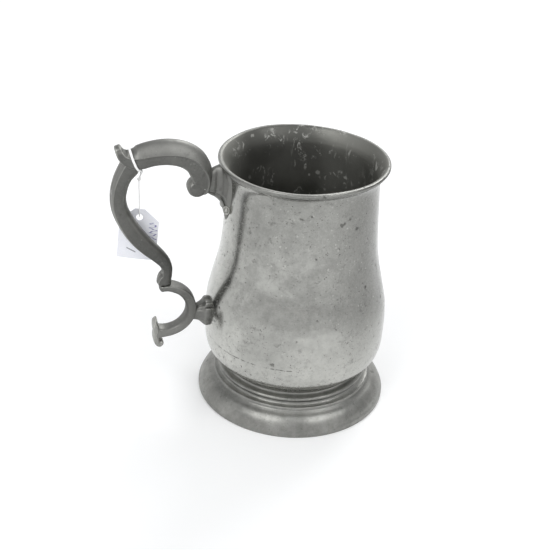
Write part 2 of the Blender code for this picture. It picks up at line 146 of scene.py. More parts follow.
# The thread, the same route as the model's: two turns round the bar, and the run down to the card
LOOP_TOP_OUT = 106.2
LOOP_FOOT_OUT = 99.0
LOOP_PITCH = 0.7
LOOP_TURNS = 2
LOOP_HALF_WIDTH = 8.5
LOOP_SQUARENESS = 3.2
LOOP_BEND = 0.5  # below 1, a turn runs down the bar's side before it goes in under it
LOOP_POINTS = 22
LOOP_TOP_Z = 177.2
LOOP_FOOT_Z = 164.2
THREAD_RADIUS = 0.35
KNOT = (-100.6, 0.0, 157.0)
KNOT_LOBE = 0.34
KNOT_DEPTH = 0.55
KNOT_DROP = 0.2  # the knot's middle below the point where the strands meet
KNOT_THREAD_RADIUS = 0.28  # the thread is pulled thin in it
THREAD_RUN = [
    (-100.6, 0.0, 156.2), (-100.5, 1.2, 153.2), (-100.2, 3.0, 147.8), (-99.9, 5.0, 142.0),
    (-99.7, 6.8, 136.9), (-99.6, 7.3, 133.4), (-99.5, 7.4, 130.4), (-99.4, 8.1, 128.5),
    (-99.4, 9.1, 129.4), (-99.5, 9.2, 132.6),
]

CARD_WIDTH = 24.0
CARD_HEIGHT = 35.0
CARD_THICKNESS = 0.4
CARD_CLIP_WIDTH = 9.0
CARD_CLIP_HEIGHT = 8.0
CARD_HOLE_DROP = 5.6
CARD_HOLE_RADIUS = 2.1
CARD_YAW = math.radians(12)
CARD_ROLL = math.radians(5)
CARD_HOLE = (-99.4, 8.2, 127.9)
CARD_BOW_ACROSS = 0.004  # how far the card bows, in millimetres per square millimetre from its hole
CARD_BOW_DOWN = 0.0012
CARD_RINGS = 8
SEAM_CLEAR_TO = 14.0  # the seam's gaps are plain to see on the handle's side of this x of the frame
FLOOR_GLOW = 0.10


def placed(point):
    """A point in millimetres from the body's axis, in the row frame."""
    return Vector(point) * MM + Vector((AXIS_X, 0.0, 0.0))


def smooth(points, steps):
    """A Catmull-Rom curve through the points, with each span cut into steps."""
    ends = [points[0]] + list(points) + [points[-1]]
    line = []
    for a, b, c, d in zip(ends, ends[1:], ends[2:], ends[3:]):
        for i in range(steps):
            t = i / steps
            line.append(tuple(
                0.5 * (2 * q + (r - p) * t + (2 * p - 5 * q + 4 * r - s) * t**2
                       + (3 * q - p - 3 * r + s) * t**3)
                for p, q, r, s in zip(a, b, c, d)
            ))
    return line + [tuple(points[-1])]


def around(count):
    """Evenly spaced angles round a circle."""
    return [2 * math.pi * i / count for i in range(count)]


def superellipse(angle, across, along, squareness):
    """A point on an ellipse that grows squarer as squareness rises from 2."""
    c = math.cos(angle)
    s = math.sin(angle)
    power = 2 / squareness
    return (math.copysign(abs(c) ** power, c) * across, math.copysign(abs(s) ** power, s) * along)


# ---------------------------------------------------------------- camera

CAMERA_PLACE = (-183.6, -599.5, 439.7)
CAMERA_AIM = (-14.6, 0.1, 84.3)
CAMERA_ROLL = math.radians(3.25)
CAMERA_LENS = 73.8
CAMERA_SENSOR = 36.0


def add_camera():
    """Stands to the left of the front and above, turned a little clockwise."""
    data = bpy.data.cameras.new("camera")
    data.lens = CAMERA_LENS
    data.sensor_width = CAMERA_SENSOR
    camera = bpy.data.objects.new("camera", data)
    bpy.context.scene.collection.objects.link(camera)
    place = placed(CAMERA_PLACE)
    look = (placed(CAMERA_AIM) - place).to_track_quat("-Z", "Y").to_matrix()
    turn = look @ Matrix.Rotation(CAMERA_ROLL, 3, "Z")
    camera.matrix_world = Matrix.Translation(place) @ turn.to_4x4()
    bpy.context.scene.camera = camera


# ---------------------------------------------------------------- materials


class Graph:
    """A material's nodes, added one at a time."""

    def __init__(self, name):
        self.material = bpy.data.materials.new(name)
        self.material.use_nodes = True
        self.tree = self.material.node_tree
        self.shader = self.tree.nodes["Principled BSDF"]

    def add(self, kind, inputs=None, **settings):
        node = self.tree.nodes.new(kind)
        for key, value in settings.items():
            setattr(node, key, value)
        for key, value in (inputs or {}).items():
            self.put(node.inputs[key], value)
        return node

    def put(self, socket, value):
        if isinstance(value, bpy.types.NodeSocket):
            self.tree.links.new(value, socket)
        else:
            socket.default_value = value

    def place(self, scale=(1, 1, 1)):
        """The object's own coordinates, stretched."""
        here = self.add("ShaderNodeTexCoord").outputs["Object"]
        return self.add("ShaderNodeMapping", {"Vector": here, "Scale": scale}).outputs["Vector"]

    def noise(self, size_mm, detail=3.0, rough=0.55, stretch=(1, 1, 1), distort=0.0):
        inputs = {
            "Vector": self.place(stretch), "Scale": 1 / (size_mm * MM), "Detail": detail,
            "Roughness": rough, "Distortion": distort,
        }
        return self.add("ShaderNodeTexNoise", inputs).outputs["Fac"]

    def cells(self, size_mm):
        """Voronoi cells on a warped grid, so that no mark is quite round."""
        here = self.place()
        waves = {"Vector": here, "Scale": 1.4 / (size_mm * MM), "Detail": 2.0}
        bend = self.add("ShaderNodeTexNoise", waves).outputs["Color"]
        shift = self.add("ShaderNodeVectorMath", {0: bend, 1: (0.5, 0.5, 0.5)}, operation="SUBTRACT")
        moved = {0: shift.outputs[0], 1: (0.9 * size_mm * MM,) * 3, 2: here}
        grid = self.add("ShaderNodeVectorMath", moved, operation="MULTIPLY_ADD")
        inputs = {"Vector": grid.outputs[0], "Scale": 1 / (size_mm * MM), "Randomness": 1.0}
        return self.add("ShaderNodeTexVoronoi", inputs).outputs

    def ramp(self, value, low, high):
        """0 at low and 1 at high, with a smooth step between."""
        inputs = {"Value": value, "From Min": low, "From Max": high}
        return self.add("ShaderNodeMapRange", inputs, interpolation_type="SMOOTHSTEP").outputs["Result"]

    def math(self, operation, a, b=0.0):
        return self.add("ShaderNodeMath", {0: a, 1: b}, operation=operation).outputs[0]

    def mix(self, share, a, b):
        node = self.add("ShaderNodeMix", data_type="RGBA")
        self.put(node.inputs["Factor"], share)
        self.put(node.inputs["A"], a)
        self.put(node.inputs["B"], b)
        return node.outputs["Result"]

    def tint(self, tone, colour, mask, share):
        """The tone, turned towards a colour where the mask is 1, by at most the share."""
        return self.mix(self.math("MULTIPLY", mask, share), tone, colour)

    def finish(self, colour, roughness, metallic=0.0, height=None, depth_mm=0.1):
        self.put(self.shader.inputs["Base Color"], colour)
        self.put(self.shader.inputs["Roughness"], roughness)
        self.put(self.shader.inputs["Metallic"], metallic)
        if height is not None:
            inputs = {"Height": height, "Distance": depth_mm * MM, "Strength": 1.0}
            bump = self.add("ShaderNodeBump", inputs)
            self.put(self.shader.inputs["Normal"], bump.outputs["Normal"])
        return self.material


def specks(graph, size_mm, share):
    """Marks of mixed size in a random share of the cells."""
    cells = graph.cells(size_mm)
    pick = graph.add("ShaderNodeSeparateColor", {"Color": cells["Color"]}).outputs
    reach = graph.math("ADD", 0.10, graph.math("MULTIPLY", pick["Green"], 0.28))
    spot = graph.ramp(graph.math("DIVIDE", cells["Distance"], reach), 1.0, 0.55)
    return graph.math("MULTIPLY", spot, graph.math("LESS_THAN", pick["Red"], share))


def grey(level, warmth=0.055):
    """A grey with a little less blue in it."""
    return (level, level, level * (1 - warmth), 1)


def corroded(graph, pits):
    """Dark pits in clusters, blackened blotches and pale specks, as three masks."""
    patch = graph.ramp(graph.noise(16, 3, 0.6), 0.42, 0.58)
    other = graph.ramp(graph.noise(11, 3, 0.6, distort=0.7), 0.45, 0.60)
    fine = graph.math("MULTIPLY", specks(graph, 1.2, 0.55), patch)
    middling = graph.math("MULTIPLY", specks(graph, 2.2, 0.32), other)
    pit = graph.math("MAXIMUM", graph.math("MAXIMUM", fine, middling), specks(graph, 5.0, 0.05))
    blotch = graph.math("MULTIPLY", graph.ramp(graph.noise(5, 5, 0.75), 0.53, 0.68), other)
    pale = graph.math("MULTIPLY", specks(graph, 1.8, 0.26), graph.ramp(graph.noise(13, 2, 0.6), 0.44, 0.58))
    return [graph.math("MULTIPLY", mask, pits) for mask in (pit, blotch, pale)]


def surface(graph, tone, pits, roughness, turned, grain_share):
    """The corrosion, scratches and turning lines that every pewter piece shares."""
    pit, blotch, pale = corroded(graph, pits)
    cloud = graph.ramp(graph.noise(26, 5, 0.6, distort=0.6), 0.36, 0.66)
    grain = graph.ramp(graph.noise(1.6, 4, 0.7), 0.35, 0.7)
    turning = graph.noise(2.0, 2, 0.6, stretch=(0.05, 0.05, 6))
    scratch = graph.ramp(graph.noise(0.9, 2, 0.5, stretch=(0.12, 0.5, 1.0), distort=1.5), 0.67, 0.76)
    tone = graph.tint(tone, grey(0.6), grain, grain_share)
    tone = graph.tint(tone, grey(0.6), scratch, 2 * grain_share)
    mottle = graph.ramp(graph.noise(3.2, 4, 0.75, distort=0.5), 0.48, 0.66)
    tone = graph.tint(tone, grey(0.22), mottle, 3 * grain_share)
    tone = graph.tint(tone, grey(0.66), pale, 0.35)
    tone = graph.tint(tone, grey(0.13, 0.06), blotch, 0.45)
    tone = graph.tint(tone, grey(0.07, 0.08), pit, 0.62)
    rough = graph.math("ADD", graph.math("MULTIPLY", cloud, 0.08), roughness)
    rough = graph.math("ADD", rough, graph.math("MULTIPLY", graph.math("MAXIMUM", pit, blotch), 0.25))
    lines = graph.math("MULTIPLY", turning, 0.06 * turned)
    height = graph.math("ADD", lines, graph.math("MULTIPLY", grain, 0.05))
    height = graph.math("SUBTRACT", height, graph.math("MULTIPLY", pit, 0.9))
    height = graph.math("SUBTRACT", height, graph.math("MULTIPLY", scratch, 0.2))
    return graph.finish(tone, rough, 1.0, height, 0.08)


def clouded(graph, light, dark):
    """A patina that wanders between two greys."""
    wide = graph.ramp(graph.noise(28, 5, 0.6, distort=0.8), 0.36, 0.66)
    near = graph.ramp(graph.noise(9, 4, 0.65), 0.40, 0.62)
    share = graph.math("ADD", graph.math("MULTIPLY", wide, 0.6), graph.math("MULTIPLY", near, 0.4))
    return graph.mix(share, grey(dark), grey(light))


def spot_mm(graph):
    """The surface point's X, Y and Z in millimetres: the frame's own, and on the card from its hole."""
    here = graph.place((1 / MM, 1 / MM, 1 / MM))
    return graph.add("ShaderNodeSeparateXYZ", {"Vector": here}).outputs


def band(graph, value, low, high, soft):
    """1 between two values and 0 outside them, with soft ends."""
    start = graph.ramp(value, low - soft, low + soft)
    end = graph.ramp(value, high + soft, high - soft)
    return graph.math("MULTIPLY", start, end)


def seam_line(graph, spot):
    """The row of small gaps in the solder between the two castings, clearest at the front left."""
    line = graph.ramp(graph.math("ABSOLUTE", graph.math("SUBTRACT", spot["Z"], SEAM_Z)), 0.55, 0.15)
    gaps = graph.ramp(graph.noise(3.2, 3, 0.7), 0.44, 0.56)
    left = graph.math("LESS_THAN", spot["X"], SEAM_CLEAR_TO)
    clear = graph.math("MULTIPLY", left, graph.math("LESS_THAN", spot["Y"], 0.0))
    share = graph.math("ADD", 0.15, graph.math("MULTIPLY", clear, 0.75))
    return graph.math("MULTIPLY", graph.math("MULTIPLY", line, gaps), share)


def body_pewter():
    """The drum and bowl: darker towards the lip, paler low down, with painted shade on the side away from
    the handle and in the cove, and a painted sheen on glancing faces by the handle.
    """
    g = Graph("pewter")
    spot = spot_mm(g)
    tone = clouded(g, 0.41, 0.26)
    tone = g.tint(tone, grey(0.22), g.ramp(spot["Z"], 105, 140), 0.45)
    # Painted shade on the side away from the handle.
    tone = g.tint(tone, grey(0.17), g.ramp(spot["X"], 25, 60), 0.85)
    tone = g.tint(tone, grey(0.54), g.ramp(spot["Z"], 84, 60), 0.35)
    tone = g.tint(tone, grey(0.56), g.ramp(spot["Z"], 62, 42), 0.40)
    # A painted sheen: faces seen at a glancing angle on the handle's side are painted paler.
    glancing_sheen = g.add("ShaderNodeLayerWeight", {"Blend": 0.5}).outputs["Facing"]
    pale = g.math("MULTIPLY", g.ramp(glancing_sheen, 0.42, 0.75), g.ramp(spot["X"], 12, -8))
    tone = g.tint(tone, grey(0.56), pale, 0.55)
    # Painted shade in the cove under the bowl.
    tone = g.tint(tone, grey(0.18), g.ramp(spot["Z"], 32.5, 27.0), 0.30)
    lip = g.ramp(spot["Z"], 159, 162)
    tone = g.tint(tone, grey(0.20), lip, 0.45)
    tone = g.mix(seam_line(g, spot), tone, grey(0.08))
    return surface(g, tone, 1.0, g.math("ADD", 0.15, g.math("MULTIPLY", lip, 0.17)), 1.0, 0.12)


def foot_pewter():
    """The foot, with old polish and painted shade in its coves and on the collar under the bowl."""
    g = Graph("pewter_foot")
    height_mm = spot_mm(g)["Z"]
    # Painted shade in the coves and on the collar under the bowl.
    collar = g.math("MULTIPLY", g.ramp(height_mm, 20.9, 21.6), 0.4)
    cove_shade = g.math("MAXIMUM", band(g, height_mm, 16.9, 18.9, 0.5), collar)
    cove_shade = g.math("MAXIMUM", cove_shade, band(g, height_mm, 13.2, 14.6, 0.4))
    tone = g.mix(g.math("MULTIPLY", cove_shade, 0.5), clouded(g, 0.33, 0.21), grey(0.18))
    return surface(g, tone, 0.5, 0.35, 1.0, 0.08)


def handle_pewter(name, side, crown, low=(0.0, 0.0)):
    """Darker cast pewter, paler on its outer faces and dark on its sides, partly rubbed wear and partly
    painted light and shade by the way each face turns, with a painted highlight, partly edge wear, along
    its upper edges.

    low is the grey at the foot of the grip or the tail, and how strongly it shows there."""
    g = Graph(name)
    facing = g.add("ShaderNodeNewGeometry").outputs["Normal"]
    sideways = g.add("ShaderNodeSeparateXYZ", {"Vector": facing}).outputs["Y"]
    # Faces turned up and out take the crown's grey and the sides take the side grey: partly wear, partly
    # painted light and shade.
    lit_faces = g.ramp(g.math("ABSOLUTE", sideways), 0.95, 0.80)
    worn_and_lit = g.math("MULTIPLY", lit_faces, g.ramp(g.noise(12, 4, 0.6), 0.15, 0.5))
    tone = g.mix(worn_and_lit, clouded(g, side * 1.1, side * 0.9), clouded(g, crown, crown * 0.85))
    height_mm = spot_mm(g)["Z"]
    foot = g.math("MAXIMUM", band(g, height_mm, 88, 118, 13), g.ramp(height_mm, 68, 52))
    tone = g.tint(tone, grey(low[0]), foot, low[1])
    upward = g.add("ShaderNodeSeparateXYZ", {"Vector": facing}).outputs["Z"]
    # A painted highlight along the upper edges, partly edge wear.
    edge = g.ramp(g.add("ShaderNodeNewGeometry").outputs["Pointiness"], 0.515, 0.56)
    edge = g.math("MULTIPLY", edge, g.ramp(upward, 0.0, 0.3))
    tone = g.tint(tone, grey(0.62), edge, 0.8)
    return surface(g, tone, 0.3, 0.46, 0.0, 0.03)


def tarnished_and_shaded_inside():
    """The inside: olive tarnish with chalky spots and drips, with painted light and shade: paler towards
    the lip, on the left and at the back on the right, darker at the back, and darkest under the lip at the
    back.
    """
    g = Graph("tarnished_and_shaded_inside")
    cloud = g.ramp(g.noise(22, 5, 0.65, distort=0.6), 0.35, 0.68)
    murk = g.ramp(g.noise(8, 4, 0.7), 0.42, 0.64)
    tone = g.mix(cloud, (0.090, 0.093, 0.078, 1), (0.165, 0.165, 0.145, 1))
    tone = g.tint(tone, (0.085, 0.080, 0.068, 1), murk, 0.5)
    spot = spot_mm(g)
    height_mm = spot["Z"]
    # Painted light and shade: paler towards the lip and on the left, darker at the back.
    tone = g.tint(tone, grey(0.19, 0.08), g.ramp(height_mm, 112, 150), 0.60)
    tone = g.tint(tone, grey(0.09, 0.08), g.ramp(spot["Y"], 10, 42), 0.45)
    tone = g.tint(tone, grey(0.31, 0.08), g.ramp(spot["X"], 4, -12), 0.60)
    # Painted shade under the lip at the back, and painted light at the back on the right.
    back = g.ramp(spot["Y"], 6, 30)
    middle = g.math("MULTIPLY", back, band(g, spot["X"], 2, 46, 7))
    middle = g.math("MULTIPLY", middle, g.ramp(height_mm, 138, 156))
    tone = g.tint(tone, grey(0.08, 0.08), middle, 0.5)
    right = g.math("MULTIPLY", back, g.ramp(spot["X"], 46, 60))
    tone = g.tint(tone, grey(0.30, 0.08), right, 0.55)
    drips = g.ramp(g.noise(5, 3, 0.6, stretch=(1, 1, 0.14)), 0.62, 0.74)
    chalk = g.ramp(g.noise(4.6, 4, 0.7, stretch=(1, 1, 0.7), distort=1.0), 0.55, 0.67)
    chalk = g.math("MULTIPLY", chalk, g.ramp(g.noise(13, 2, 0.5), 0.49, 0.58))
    chalk = g.math("MULTIPLY", chalk, g.ramp(height_mm, 100, 125))
    dots = g.math("MULTIPLY", specks(g, 5.0, 0.14), 0.5)
    splashes = g.math("MAXIMUM", dots, g.math("MULTIPLY", chalk, 0.8))
    marks = g.math("MAXIMUM", g.math("MULTIPLY", drips, 0.30), splashes)
    tone = g.mix(marks, tone, grey(0.46, 0.06))
    metal = g.math("SUBTRACT", 0.62, g.math("MULTIPLY", marks, 0.55))
    rough = g.math("ADD", 0.40, g.math("MULTIPLY", cloud, 0.15))
    return g.finish(tone, rough, metal, g.math("ADD", chalk, g.math("MULTIPLY", cloud, 0.5)), 0.12)


# The card's two marks, in millimetres from its hole
SQUIGGLE_X = 8.8
SQUIGGLE_LOW = -16.0
SQUIGGLE_HIGH = -3.0
SQUIGGLE_WAVE = (1.8, 2.1)  # its height, and its radians a millimetre
SQUIGGLE_RIPPLE = (0.6, 5.1)
STROKE_LEFT = -6.4
STROKE_RIGHT = -0.7
STROKE_SLOPE = -0.45
STROKE_Z = -24.9  # where its line passes below the hole


def card_stock():
    """White card with a faint grain, an ink squiggle down one edge and a short pen stroke."""
    g = Graph("card_stock")
    spot = spot_mm(g)
    x = spot["X"]
    z = spot["Z"]
    wave, ripple = [
        g.math("MULTIPLY", g.math("SINE", g.math("MULTIPLY", z, pace)), height)
        for height, pace in (SQUIGGLE_WAVE, SQUIGGLE_RIPPLE)
    ]
    line = g.math("ADD", g.math("ADD", wave, ripple), SQUIGGLE_X)
    off = g.math("ABSOLUTE", g.math("SUBTRACT", x, line))
    above = g.math("GREATER_THAN", z, SQUIGGLE_LOW)
    within = g.math("MULTIPLY", g.math("LESS_THAN", z, SQUIGGLE_HIGH), above)
    writing = g.math("MULTIPLY", g.ramp(off, 0.75, 0.35), within)
    slope = g.math("ADD", g.math("MULTIPLY", x, STROKE_SLOPE), STROKE_Z)
    stroke = g.ramp(g.math("ABSOLUTE", g.math("SUBTRACT", z, slope)), 0.55, 0.25)
    left = g.math("GREATER_THAN", x, STROKE_LEFT)
    stroke = g.math("MULTIPLY", stroke, g.math("MULTIPLY", left, g.math("LESS_THAN", x, STROKE_RIGHT)))
    fibre = g.noise(0.8, 3, 0.6)
    tone = g.mix(fibre, (0.80, 0.81, 0.87, 1), (0.90, 0.91, 0.95, 1))
    tone = g.tint(tone, (0.13, 0.12, 0.34, 1), writing, 0.9)
    tone = g.tint(tone, (0.10, 0.10, 0.12, 1), stroke, 0.8)
    return g.finish(tone, 0.75, 0.0, fibre, 0.03)


def cotton(name):
    """White twisted thread: a fine diagonal lay and a little fuzz."""
    g = Graph(name)
    lay = g.noise(0.35, 2, 0.5, stretch=(1, 1, 0.5))
    tone = g.mix(lay, (0.88, 0.88, 0.88, 1), (1.0, 1.0, 0.99, 1))
    g.shader.inputs["Sheen Weight"].default_value = 0.3
    return g.finish(tone, 0.85, 0.0, lay, 0.08)


def paper_floor():
    """White paper, lit a little from below so that the shadows on it stay thin."""
    g = Graph("white_floor")
    tone = g.mix(g.noise(300, 2, 0.5), (0.90, 0.905, 0.91, 1), (0.93, 0.93, 0.93, 1))
    g.put(g.shader.inputs["Emission Color"], (1.0, 1.0, 1.0, 1))
    g.put(g.shader.inputs["Emission Strength"], FLOOR_GLOW)
    return g.finish(tone, 0.8)


# ---------------------------------------------------------------- mesh building


def mesh_object(name, bm, materials, replaced=(), sharp=40):
    """A closed mesh of the tankard's own body, with its material and finish."""
    bmesh.ops.recalc_face_normals(bm, faces=bm.faces)
    mesh = bpy.data.meshes.new(name)
    bm.to_mesh(mesh)
    bm.free()
    for material in materials:
        mesh.materials.append(material)
    mesh.shade_smooth()
    mesh.set_sharp_from_angle(angle=math.radians(sharp))
    obj = bpy.data.objects.new(name, mesh)
    bpy.context.scene.collection.objects.link(obj)
    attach(obj, BODY)
    if replaced:
        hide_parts(*replaced)
    return obj


WEAR_SEED = 5  # set, because Blender's noise otherwise takes its seed from the clock
SLOW_WEAR = (26, 0.35)  # waves per metre, and their height in millimetres
QUICK_WEAR = (95, 0.09)


def worn(point, amount):
    """A slow wander of the surface, as a soft metal gets from long use."""
    slow = noise.noise_vector(point * SLOW_WEAR[0]) * SLOW_WEAR[1]
    quick = noise.noise_vector(point * QUICK_WEAR[0]) * QUICK_WEAR[1]
    return point + (slow + quick) * amount * MM


# Bends of the lip: degrees from +X, spread in degrees, millimetres
LIP_BULGES = [(105, 42, 1.3), (225, 34, 1.0)]  # outward
LIP_DIPS = [(250, 60, 0.5), (40, 40, 0.4)]  # down
LIP_BEND_FOOT = 135  # the height where the bends begin
LIP_BEND_HEIGHT = 30
LIP_BEND_POWER = 1.6


def near_angle(angle, middle, spread):
    """1 at the middle of a bend in the lip, fading to 0 at either side (degrees)."""
    turn = (math.degrees(angle) - middle + 180) % 360 - 180
    return math.exp(-((turn / spread) ** 2))


def lip_shape(angle, radius, z):
    """The lip is out of round, and the wall below it follows less and less."""
    high = max(0.0, min(1.0, (z - LIP_BEND_FOOT) / LIP_BEND_HEIGHT)) ** LIP_BEND_POWER
    out = sum(near_angle(angle, middle, spread) * much for middle, spread, much in LIP_BULGES)
    down = sum(near_angle(angle, middle, spread) * much for middle, spread, much in LIP_DIPS)
    return radius + out * high, z - down * high


def turned(name, outer, inner, materials, replaced, inner_material=0, wear=1.0, shape=None, steps=6):
    """An outer and an inner outline turned about the axis into one closed shell."""
    line = [(r, z, 0) for r, z in smooth(outer, steps)] + [(r, z, 1) for r, z in smooth(inner, steps)]
    bm = bmesh.new()
    rings = []
    for r, z, _ in line:
        ring = []
        for angle in around(LATHE_STEPS):
            radius, height = shape(angle, r, z) if shape else (r, z)
            spot = placed((radius * math.cos(angle), radius * math.sin(angle), height))
            ring.append(bm.verts.new(worn(spot, wear)))
        rings.append(ring)
    for k, ring in enumerate(rings):
        after = rings[(k + 1) % len(rings)]
        for i in range(LATHE_STEPS):
            j = (i + 1) % LATHE_STEPS
            face = bm.faces.new((ring[i], ring[j], after[j], after[i]))
            face.material_index = inner_material if line[k][2] else 0
    return mesh_object(name, bm, materials, replaced=replaced)


def skin(bm, rings):
    """Walls between neighbouring rings of points, and a cap at each end."""
    loops = [[bm.verts.new(p) for p in ring] for ring in rings]
    count = len(loops[0])
    for low, high in zip(loops, loops[1:]):
        for i in range(count):
            j = (i + 1) % count
            bm.faces.new((low[i], low[j], high[j], high[i]))
    bm.faces.new(loops[0])
    bm.faces.new(loops[-1])


def mirrored(half):
    """A closed outline from the half on one side, which starts and ends near the middle."""
    return half + [(-y, n) for y, n in reversed(half) if y > 0.01]


def bar_section(half_width, half_thickness, crown, squareness):
    """A domed top with a fine bead along each arris, and slightly sunk sides: squareness isn't used."""
    fine = min(1.0, half_thickness / 4)
    half = [
        (math.sin(a) * half_width, half_thickness + math.cos(a) ** 2 * crown)
        for a in (math.pi / 2 * i / 14 for i in range(15))
    ]
    half += [
        (half_width + 0.12 * fine, half_thickness - 0.2 * fine),
        (half_width + 0.05 * fine, half_thickness - 0.55 * fine),
        (half_width - 0.35 * fine, half_thickness - 0.9 * fine),
        (half_width - 0.45 * fine, half_thickness - 1.8 * fine),
        (half_width - 0.45 * fine, -half_thickness + 2.4 * fine),
        (half_width - 0.5 * fine, -half_thickness + 1.3 * fine),
        (half_width - 1.0 * fine, -half_thickness + 0.5 * fine),
        (half_width - 2.0 * fine, -half_thickness + 0.1 * fine),
        (half_width * 0.4, -half_thickness),
    ]
    return mirrored(half)


def grip_section(half_width, half_thickness, crown, squareness):
    """A rounded back under a low dome, with a raised strip along its middle."""
    top = half_thickness + crown
    half = [(0.0, top + 0.1), (0.9, top + 0.05), (1.3, top - 0.12), (1.5, top - 0.35)]
    for i in range(3, 11):
        a = math.pi / 2 * i / 10
        half.append((math.sin(a) * half_width, half_thickness + math.cos(a) * (crown - 0.25)))
    for i in range(1, 14):
        a = math.pi / 2 * i / 14
        y, n = superellipse(a, half_width, 2 * half_thickness, squareness)
        half.append((y, half_thickness - n))
    half.append((0.0, -half_thickness))
    return mirrored(half)


VOLUTE_OUT = 66.2
VOLUTE_Z = 150.3
VOLUTE_PROFILE = [(0.4, 4.7), (2.6, 4.6), (4.4, 4.3), (5.3, 3.8), (5.8, 3.0), (5.95, 1.6), (6.0, 0.0)]
VOLUTE_POINTS = 72


def volute(material):
    """The round eye that the bar's inner end rolls up into."""
    half = smooth(VOLUTE_PROFILE, 3)
    profile = half + [(reach, -y) for reach, y in reversed(half[:-1])]
    bm = bmesh.new()
    rings = []
    for reach, y in profile:
        rings.append([
            worn(placed((math.cos(a) * reach - VOLUTE_OUT, y, math.sin(a) * reach + VOLUTE_Z)), SCROLL_WEAR)
            for a in around(VOLUTE_POINTS)
        ])
    skin(bm, rings)
    return mesh_object("handle_volute", bm, [material], sharp=50)


def strap_section(half_width, half_thickness, crown, squareness):
    """A flat strap with eased edges and a low crown on its outer side."""
    half = []
    for i in range(11):
        a = math.pi / 2 * i / 10
        half.append((math.sin(a) ** 0.6 * half_width, half_thickness + math.cos(a) * crown))
    for i in range(1, 14):
        a = math.pi / 2 * i / 14
        y, n = superellipse(a, half_width, 2 * half_thickness, squareness)
        half.append((y, half_thickness - n))
    half.append((0.0, -half_thickness))
    return mirrored(half)


END_ANGLES = (0.3, 0.6, 0.9, 1.15, 1.35, 1.48)  # how far round a scroll's rounded end each ring is


def swept(name, stations, section, material, replaced=(), end_radius=1.8):
    """Sections along a scroll in the plane y = 0, each square to the path, with rounded ends."""
    path = smooth(stations, SCROLL_STEPS)
    rings = []
    for i, (out, z, half_width, half_thickness, crown, squareness) in enumerate(path):
        before = path[max(i - 1, 0)]
        after = path[min(i + 1, len(path) - 1)]
        along = Vector((after[0] - before[0], after[1] - before[1])).normalized()
        face = Vector((-along.y, along.x))
        outline = section(half_width, half_thickness, crown, squareness)
        ends = [(0.0, 1.0)]
        if i == 0:
            ends = [(-math.sin(a), math.cos(a)) for a in reversed(END_ANGLES)] + ends
        if i == len(path) - 1:
            ends = ends + [(math.sin(a), math.cos(a)) for a in END_ANGLES]
        for push, shrink in ends:
            shift = along * push * end_radius
            rings.append([
                worn(placed((
                    -(out + shift.x + face.x * n * shrink), y * shrink,
                    z + shift.y + face.y * n * shrink,
                )), SCROLL_WEAR)
                for y, n in outline
            ])
    bm = bmesh.new()
    skin(bm, rings)
    return mesh_object(name, bm, [material], replaced=replaced, sharp=50)


def hump(value, middle, spread):
    """1 at the middle, fading smoothly to 0 at either side."""
    return math.exp(-(((value - middle) / spread) ** 2))


def scrolled_edge(angle, out):
    """Carving on the upper bracket: raised borders along its curved lower edge, and across them an
    upright ridge and crease. A carving gives the stretch across and along, and a shift outward."""
    depth = max(0.0, -math.sin(angle))
    border = 0.12 * hump(depth, 0.80, 0.09)
    groove = 0.17 * hump(depth, 0.60, 0.08)
    rib = 0.10 * hump(depth, 0.38, 0.09)
    slanted = out - 1.2 * (depth - 0.5)
    upright = 0.07 * hump(slanted, 52.4, 0.9) - 0.13 * hump(slanted, 55.2, 0.9)
    return 1 + border - groove + rib + upright, 1.0, 0.0


def leafy(angle, out):
    """Seven curled leaves round the lower boss, deepest near the body and fading towards the tail."""
    share = max(0.0, min(1.0, (68.0 - out) / 7))
    turn = 3.5 * angle + 0.5
    lobe = abs(math.sin(turn)) ** 0.35
    vein = hump(math.cos(turn), 0.0, 0.22)
    size = 1 + share * (0.20 * (lobe - 0.85) - 0.05 * vein)
    return size, size, 1.1 * share * (0.7 - lobe)


def strut(name, sections, middle_z, material, replaced, carving):
    """Upright sections from the body out to a scroll, with carving on their faces."""
    rings = []
    for out, half_width, up, down, lean in smooth(sections, STRUT_STEPS):
        ring = []
        for angle in around(STRUT_POINTS):
            rise = up if math.sin(angle) >= 0 else down
            y, n = superellipse(angle, half_width, rise, STRUT_SQUARENESS)
            across, along, shift = carving(angle, out)
            spot = placed((-(out + lean * n + shift), y * across, middle_z + n * along))
            ring.append(worn(spot, STRUT_WEAR))
        rings.append(ring)
    bm = bmesh.new()
    skin(bm, rings)
    return mesh_object(name, bm, [material], replaced=replaced, sharp=60)


def body_radius(z):
    """The body's outer radius at a height."""
    line = DRUM_OUTER[LIP_POINTS:] + BOWL_OUTER[1:]
    for (r1, h1), (r2, h2) in zip(line, line[1:]):
        if h2 <= z <= h1:
            return r1 + (r2 - r1) * (h1 - z) / (h1 - h2)
    return line[0][0]


def on_body(y, z, rise):
    """A point on the handle's side of the body, a rise above its surface."""
    radius = body_radius(z) + rise
    return placed((-math.sqrt(max(radius**2 - y**2, 1.0)), y, z))


# The leaf down the body: height, half width, rise above the body
LEAF = [
    (162.0, 4.0, 0.8), (159.0, 6.4, 1.6), (155.0, 7.3, 2.1), (148.0, 7.7, 2.5), (143.0, 7.7, 2.6),
    (139.5, 7.2, 2.4), (136.5, 6.3, 2.1), (133.5, 5.0, 1.8), (130.5, 3.6, 1.3), (126.8, 0.6, 0.3),
]
LEAF_POINTS = 36  # steps across it
LEAF_ROOT = 1.0  # how far its back is let into the body


